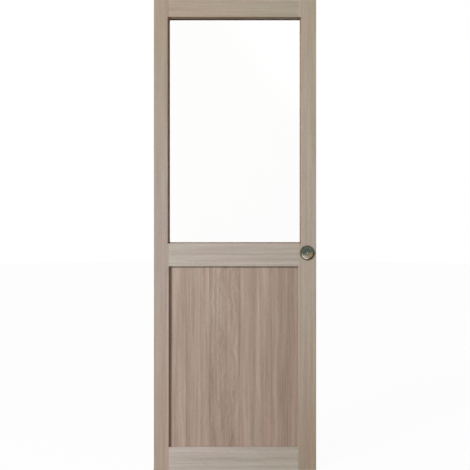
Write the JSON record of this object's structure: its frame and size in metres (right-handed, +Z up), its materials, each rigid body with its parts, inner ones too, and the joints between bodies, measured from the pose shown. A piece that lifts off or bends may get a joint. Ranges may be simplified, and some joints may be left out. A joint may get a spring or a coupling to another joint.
{
  "type": "sliding glazed door",
  "caption": "Sliding door leaf, clear glass over a solid panel, with a round cup pull in each face, hung on wheels from a wall-fixed head track and kept upright by a floor guide.",
  "frame": {"origin": "on the floor at the centre of the floor guide, below the middle of the track and midway through the leaf's thickness", "axes": "+Z up, +X to the right seen from the front, +Y towards the wall behind; the front faces -Y"},
  "size_m": [1.5, 0.0594, 2.237],
  "materials": {
    "oak_frame": "satin",
    "oak_panel": "satin",
    "dowel_beech": "matte",
    "clear_glass": "polished",
    "gasket_rubber": "matte",
    "packer_plastic": "matte",
    "pull_nickel": "satin",
    "track_aluminium": "satin",
    "plated_steel": "satin",
    "zinc_casting": "matte",
    "wheel_nylon": "satin",
    "guide_nylon": "matte",
    "buffer_rubber": "matte"
  },
  "bodies": {
    "fixed": {"track_top": "track_aluminium", "track_wall_front": "track_aluminium", "track_wall_back": "track_aluminium", "track_lip_front": "track_aluminium", "track_lip_back": "track_aluminium", "wall_bracket_1": "plated_steel", "wall_bracket_2": "plated_steel", "wall_bracket_3": "plated_steel", "wall_bracket_4": "plated_steel", "track_bolts": "plated_steel", "track_nuts": "plated_steel", "end_stop_left": "zinc_casting", "end_stop_right": "zinc_casting", "stop_buffer_left": "buffer_rubber", "stop_buffer_right": "buffer_rubber", "stop_screws": "plated_steel", "floor_guide": "guide_nylon"},
    "leaf": {"rear_stile": "oak_frame", "pull_stile": "oak_frame", "top_rail": "oak_frame", "mid_rail": "oak_frame", "bottom_rail": "oak_frame", "dowels": "dowel_beech", "lower_panel": "oak_panel", "glass_pane": "clear_glass", "glazing_gasket": "gasket_rubber", "setting_blocks": "packer_plastic", "glazing_bead_bottom": "oak_frame", "glazing_bead_right": "oak_frame", "glazing_bead_top": "oak_frame", "glazing_bead_left": "oak_frame", "cup_pull_front": "pull_nickel", "cup_pull_back": "pull_nickel", "hanger_plate_left": "plated_steel", "hanger_plate_right": "plated_steel", "hanger_screws": "plated_steel", "suspension_bolt_left": "plated_steel", "suspension_bolt_right": "plated_steel", "lock_nuts": "plated_steel", "carriage_left": "zinc_casting", "carriage_right": "zinc_casting", "wheel_axles": "plated_steel"},
    "left_wheel_1": {"left_wheel_1": "wheel_nylon"},
    "left_wheel_2": {"left_wheel_2": "wheel_nylon"},
    "left_wheel_3": {"left_wheel_3": "wheel_nylon"},
    "left_wheel_4": {"left_wheel_4": "wheel_nylon"},
    "right_wheel_1": {"right_wheel_1": "wheel_nylon"},
    "right_wheel_2": {"right_wheel_2": "wheel_nylon"},
    "right_wheel_3": {"right_wheel_3": "wheel_nylon"},
    "right_wheel_4": {"right_wheel_4": "wheel_nylon"}
  },
  "joints": [
    {"name": "leaf_slide", "type": "slide", "parent": "fixed", "child": "leaf", "axis": [-1, 0, 0], "range_m": [0, 0.67]},
    {"name": "left_wheel_1_spin", "type": "hinge", "parent": "leaf", "child": "left_wheel_1", "pos_m": [0.079, -0.0104, 2.1607], "axis": [0, 1, 0], "continuous": true},
    {"name": "left_wheel_2_spin", "type": "hinge", "parent": "leaf", "child": "left_wheel_2", "pos_m": [0.079, 0.0104, 2.1607], "axis": [0, 1, 0], "continuous": true},
    {"name": "left_wheel_3_spin", "type": "hinge", "parent": "leaf", "child": "left_wheel_3", "pos_m": [0.131, -0.0104, 2.1607], "axis": [0, 1, 0], "continuous": true},
    {"name": "left_wheel_4_spin", "type": "hinge", "parent": "leaf", "child": "left_wheel_4", "pos_m": [0.131, 0.0104, 2.1607], "axis": [0, 1, 0], "continuous": true},
    {"name": "right_wheel_1_spin", "type": "hinge", "parent": "leaf", "child": "right_wheel_1", "pos_m": [0.539, -0.0104, 2.1607], "axis": [0, 1, 0], "continuous": true},
    {"name": "right_wheel_2_spin", "type": "hinge", "parent": "leaf", "child": "right_wheel_2", "pos_m": [0.539, 0.0104, 2.1607], "axis": [0, 1, 0], "continuous": true},
    {"name": "right_wheel_3_spin", "type": "hinge", "parent": "leaf", "child": "right_wheel_3", "pos_m": [0.591, -0.0104, 2.1607], "axis": [0, 1, 0], "continuous": true},
    {"name": "right_wheel_4_spin", "type": "hinge", "parent": "leaf", "child": "right_wheel_4", "pos_m": [0.591, 0.0104, 2.1607], "axis": [0, 1, 0], "continuous": true}
  ],
  "couplings": [
    {"joint": "left_wheel_1_spin", "follows": "leaf_slide", "rad_per_m": -90.909},
    {"joint": "left_wheel_2_spin", "follows": "leaf_slide", "rad_per_m": -90.909},
    {"joint": "left_wheel_3_spin", "follows": "leaf_slide", "rad_per_m": -90.909},
    {"joint": "left_wheel_4_spin", "follows": "leaf_slide", "rad_per_m": -90.909},
    {"joint": "right_wheel_1_spin", "follows": "leaf_slide", "rad_per_m": -90.909},
    {"joint": "right_wheel_2_spin", "follows": "leaf_slide", "rad_per_m": -90.909},
    {"joint": "right_wheel_3_spin", "follows": "leaf_slide", "rad_per_m": -90.909},
    {"joint": "right_wheel_4_spin", "follows": "leaf_slide", "rad_per_m": -90.909}
  ]
}
